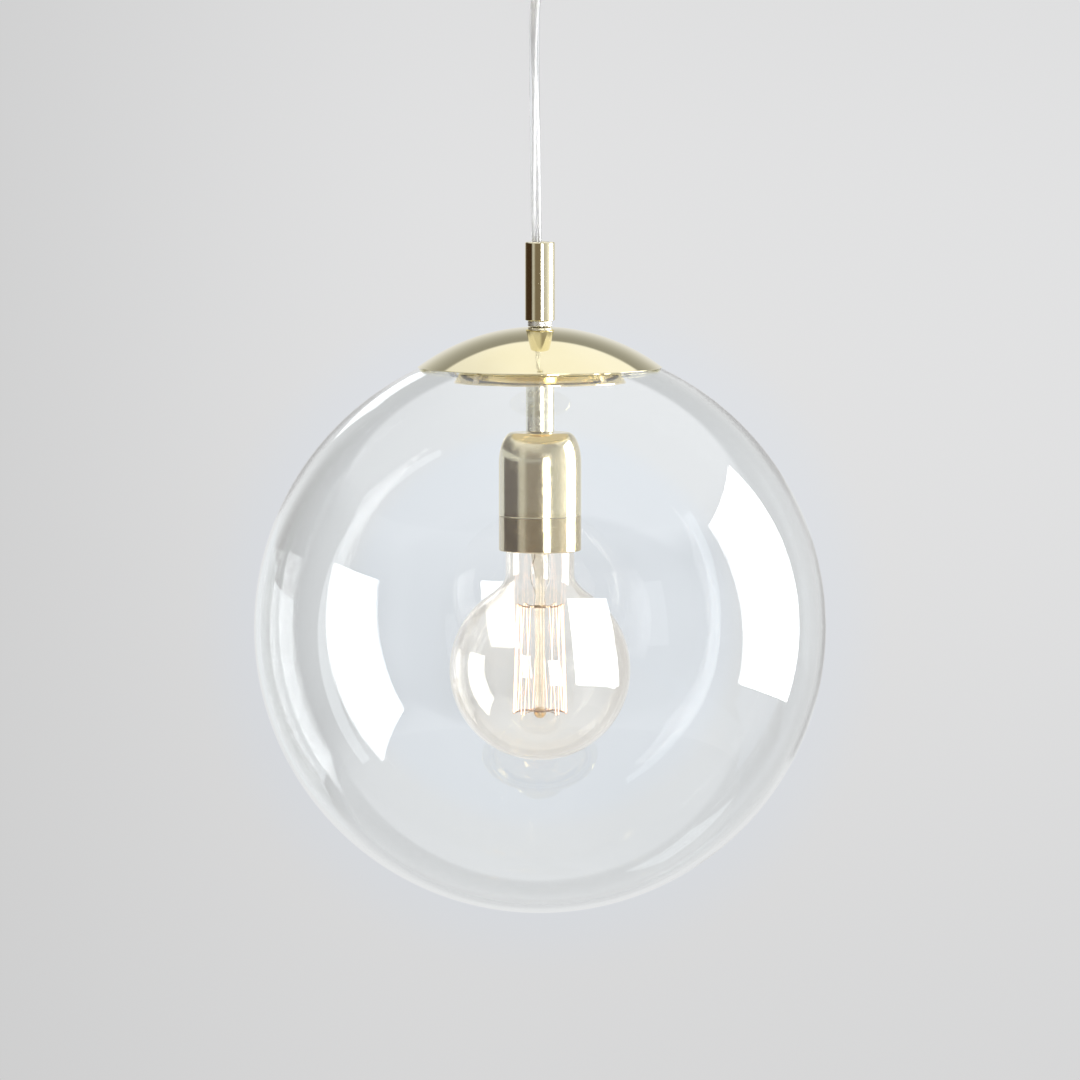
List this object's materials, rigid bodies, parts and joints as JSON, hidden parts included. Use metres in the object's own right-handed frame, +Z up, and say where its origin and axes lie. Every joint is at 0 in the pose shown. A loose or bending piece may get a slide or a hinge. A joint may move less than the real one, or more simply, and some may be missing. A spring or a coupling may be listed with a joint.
{
  "type": "pendant ceiling light",
  "caption": "Clear glass globe pendant on a cord, with a polished brass cap, grip and lamp holder, a globe filament bulb and a round ceiling canopy.",
  "frame": {"origin": "middle of the ceiling plate's top face, against the ceiling", "axes": "+Z up out of the plate; the light hangs along -Z; -Y is the front"},
  "size_m": [0.2998, 0.2998, 0.534],
  "materials": {
    "polished_brass": "polished pale brass",
    "contact_brass": "plain pressed brass",
    "zinc_steel": "zinc plated",
    "shade_glass": "clear, glossy",
    "bulb_glass": "clear with a slight warm tint",
    "filament": "glowing wire",
    "clear_sheath": "clear, slightly cloudy",
    "live_insulation": "smooth",
    "neutral_insulation": "smooth",
    "white_nylon": "satin",
    "holder_ceramic": "glazed white",
    "clear_silicone": "soft, translucent",
    "black_insulator": "glossy black"
  },
  "bodies": {
    "ceiling": {"ceiling_plate": "zinc_steel", "canopy_cup": "polished_brass", "canopy_screw_1": "zinc_steel", "canopy_screw_2": "zinc_steel", "terminal_block": "white_nylon", "gland": "polished_brass", "gland_nut": "zinc_steel", "cord_in_canopy": "clear_sheath", "live_core_top": "live_insulation", "neutral_core_top": "neutral_insulation"},
    "stop": {"cord_stop": "white_nylon"},
    "washer": {"gland_washer": "clear_silicone"},
    "lamp": {"cord": "clear_sheath", "cord_grip": "polished_brass", "clamp_plug": "white_nylon", "clamp_screw": "zinc_steel", "cap_nut": "zinc_steel", "nipple": "zinc_steel", "dome_cap": "polished_brass", "shade_gasket": "clear_silicone", "shade_gallery": "polished_brass", "glass_globe": "shade_glass", "stem_tube": "polished_brass", "holder_nut": "zinc_steel", "holder_cap": "polished_brass", "holder_ring": "polished_brass", "holder_body": "holder_ceramic", "screw_shell": "contact_brass", "centre_contact": "contact_brass", "cord_in_nipple": "clear_sheath", "live_core": "live_insulation", "neutral_core": "neutral_insulation", "live_terminal": "contact_brass", "neutral_terminal": "contact_brass", "live_terminal_screw": "zinc_steel", "neutral_terminal_screw": "zinc_steel"},
    "catch_1": {"glass_catch_1": "zinc_steel"},
    "catch_2": {"glass_catch_2": "zinc_steel"},
    "catch_3": {"glass_catch_3": "zinc_steel"},
    "bulb_base": {"bulb_tip": "zinc_steel"},
    "bulb": {"bulb_cap": "contact_brass", "bulb_insulator": "black_insulator", "bulb_envelope": "bulb_glass", "bulb_stem": "bulb_glass", "support_top": "zinc_steel", "support_bottom": "zinc_steel", "filament": "filament", "lead_wire_1": "zinc_steel", "lead_wire_2": "zinc_steel"}
  },
  "joints": [
    {"name": "cord_twist", "type": "hinge", "parent": "ceiling", "child": "stop", "pos_m": [0, 0, -0.032], "axis": [0, 0, 1], "range_deg": [-180, 180]},
    {"name": "swing_sideways", "type": "hinge", "parent": "stop", "child": "washer", "pos_m": [0, 0, -0.032], "axis": [0, 1, 0], "range_deg": [-25, 25]},
    {"name": "swing_forwards", "type": "hinge", "parent": "washer", "child": "lamp", "pos_m": [0, 0, -0.032], "axis": [1, 0, 0], "range_deg": [-25, 25]},
    {"name": "catch_1_flex", "type": "hinge", "parent": "lamp", "child": "catch_1", "pos_m": [0, 0.042, -0.2372], "axis": [-1, 0, 0], "range_deg": [0, 17], "stiffness_Nm_per_rad": 0.2, "springref_deg": -5.73},
    {"name": "catch_2_flex", "type": "hinge", "parent": "lamp", "child": "catch_2", "pos_m": [-0.03637, -0.021, -0.2372], "axis": [0.5, -0.866, 0], "range_deg": [0, 17], "stiffness_Nm_per_rad": 0.2, "springref_deg": -5.73},
    {"name": "catch_3_flex", "type": "hinge", "parent": "lamp", "child": "catch_3", "pos_m": [0.03637, -0.021, -0.2372], "axis": [0.5, 0.866, 0], "range_deg": [0, 17], "stiffness_Nm_per_rad": 0.2, "springref_deg": -5.73},
    {"name": "bulb_travel", "type": "slide", "parent": "lamp", "child": "bulb_base", "axis": [0, 0, -1], "range_m": [0, 0.0182]},
    {"name": "bulb_turn", "type": "hinge", "parent": "bulb_base", "child": "bulb", "pos_m": [0, 0, -0.324], "axis": [0, 0, -1], "range_deg": [0, 1800]}
  ],
  "couplings": [
    {"joint": "bulb_travel", "follows": "bulb_turn", "m_per_rad": 0.00057757},
    {"joint": "catch_2_flex", "follows": "catch_1_flex", "ratio": 1},
    {"joint": "catch_3_flex", "follows": "catch_1_flex", "ratio": 1}
  ]
}
